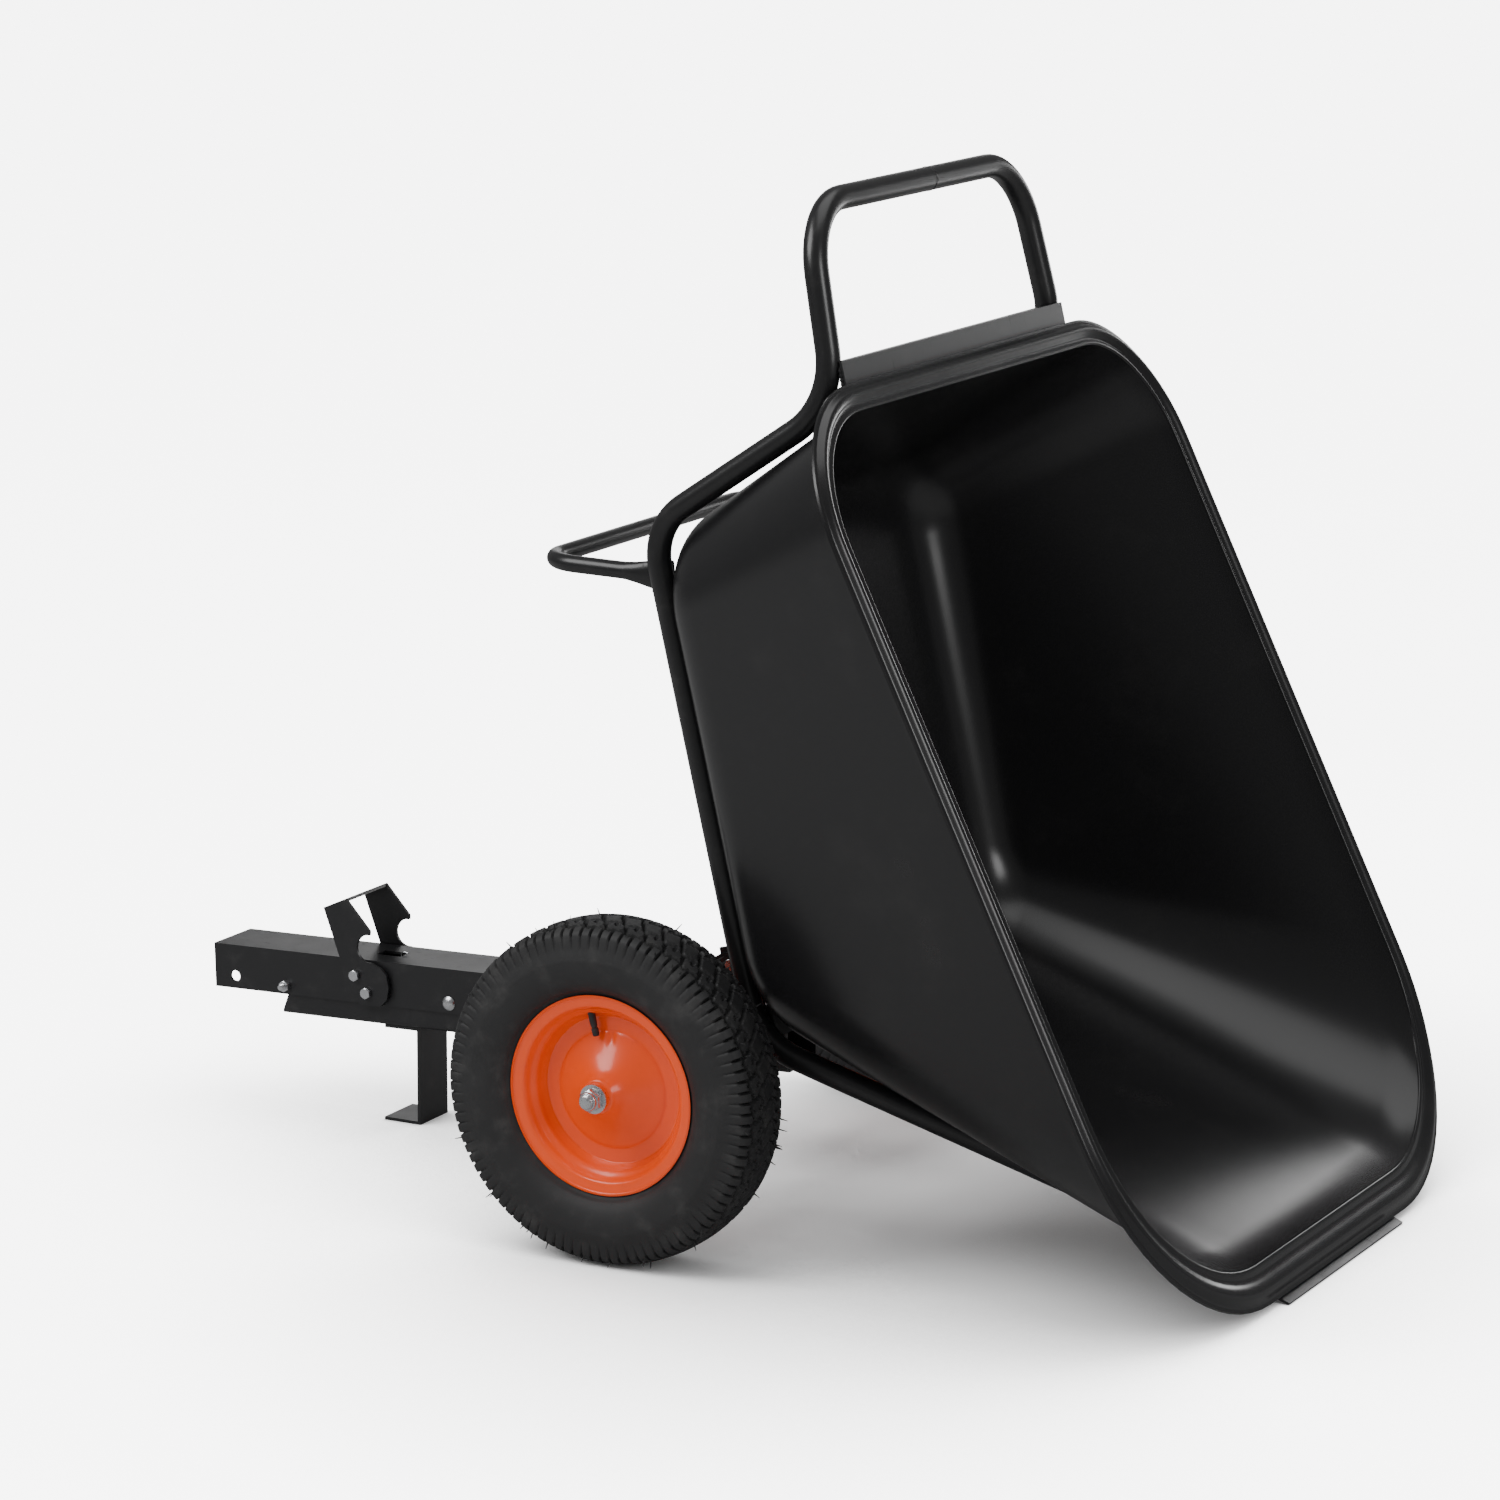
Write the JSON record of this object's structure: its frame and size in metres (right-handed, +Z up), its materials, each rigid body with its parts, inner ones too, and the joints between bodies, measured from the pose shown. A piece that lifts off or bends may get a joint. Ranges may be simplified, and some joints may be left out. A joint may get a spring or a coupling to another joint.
{
  "type": "tow behind cart",
  "caption": "Two-wheeled tow-behind dump cart with a moulded tub that tips to the rear on a tubular frame, a drawbar with a sprung latch, and a fold-out stand foot.",
  "frame": {"origin": "on the ground, in the middle of the tipped cart's length and width, 13.5 mm ahead of the axle", "axes": "+X to the rear (the side the tub tips to), +Y to the cart's right-hand side, +Z up; ground is Z = 0"},
  "size_m": [1.5155, 0.93, 1.2181],
  "materials": {
    "frame_black": "semi-gloss powder coat",
    "latch_black": "semi-gloss powder coat",
    "tub_poly": "moulded black poly, satin gloss",
    "rim_orange": "gloss",
    "tyre": "matt rubber",
    "valve_rubber": "satin",
    "bush_nylon": "satin",
    "bush_bronze": "sintered",
    "spacer_black": "semi-gloss",
    "black_zinc": "black zinc",
    "zinc": "bright zinc plate"
  },
  "bodies": {
    "chassis": {"drawbar_front": "frame_black", "drawbar_rear": "frame_black", "front_bolt": "zinc", "front_nut": "zinc", "carriage_bolt": "zinc", "carriage_nut": "zinc", "stand": "frame_black", "stand_bolt": "zinc", "stand_nut": "zinc", "axle_beam": "frame_black", "end_plates": "frame_black", "axle": "zinc", "hub_spacers": "spacer_black", "axle_washers": "zinc", "lock_nuts": "zinc", "pivot_bolts": "zinc", "pivot_nuts": "zinc", "thrust_washers": "zinc", "latch_pivot_bolt": "zinc", "latch_pivot_nut": "zinc", "latch_spring": "zinc"},
    "latch": {"latch": "latch_black", "anchor_bolt": "zinc", "anchor_nut": "zinc"},
    "left_wheel": {"tyre_left": "tyre", "rim_outer_left": "rim_orange", "rim_inner_left": "rim_orange", "hub_left": "rim_orange", "bushes_left": "bush_nylon", "valve_left": "valve_rubber", "valve_cap_left": "valve_rubber"},
    "right_wheel": {"tyre_right": "tyre", "rim_outer_right": "rim_orange", "rim_inner_right": "rim_orange", "hub_right": "rim_orange", "bushes_right": "bush_nylon", "valve_right": "valve_rubber", "valve_cap_right": "valve_rubber"},
    "tub_body": {"tub": "tub_poly", "frame_left": "frame_black", "frame_right": "frame_black", "handle_joint": "frame_black", "front_strip": "frame_black", "rear_strip": "frame_black", "latch_loop": "frame_black", "hinge_lugs": "frame_black", "pivot_bushes": "bush_bronze", "cross_straps": "frame_black", "strap_bolts": "zinc", "strap_nuts": "zinc", "tub_bolts": "black_zinc", "tub_nuts": "zinc"}
  },
  "joints": [
    {"name": "tub_dump", "type": "hinge", "parent": "chassis", "child": "tub_body", "pos_m": [0.00667, 0, 0.27035], "axis": [0, 1, 0], "range_deg": [-78.1, 0]},
    {"name": "left_wheel_spin", "type": "hinge", "parent": "chassis", "child": "left_wheel", "pos_m": [0.0135, -0.381, 0.2], "axis": [0, 1, 0], "continuous": true},
    {"name": "right_wheel_spin", "type": "hinge", "parent": "chassis", "child": "right_wheel", "pos_m": [0.0135, 0.381, 0.2], "axis": [0, 1, 0], "continuous": true},
    {"name": "latch_pivot", "type": "hinge", "parent": "chassis", "child": "latch", "pos_m": [-0.52777, 0, 0.16491], "axis": [0, 1, 0], "range_deg": [-18, 0], "stiffness_Nm_per_rad": 4, "springref_deg": 8.59, "deforming": ["latch_spring"]}
  ]
}
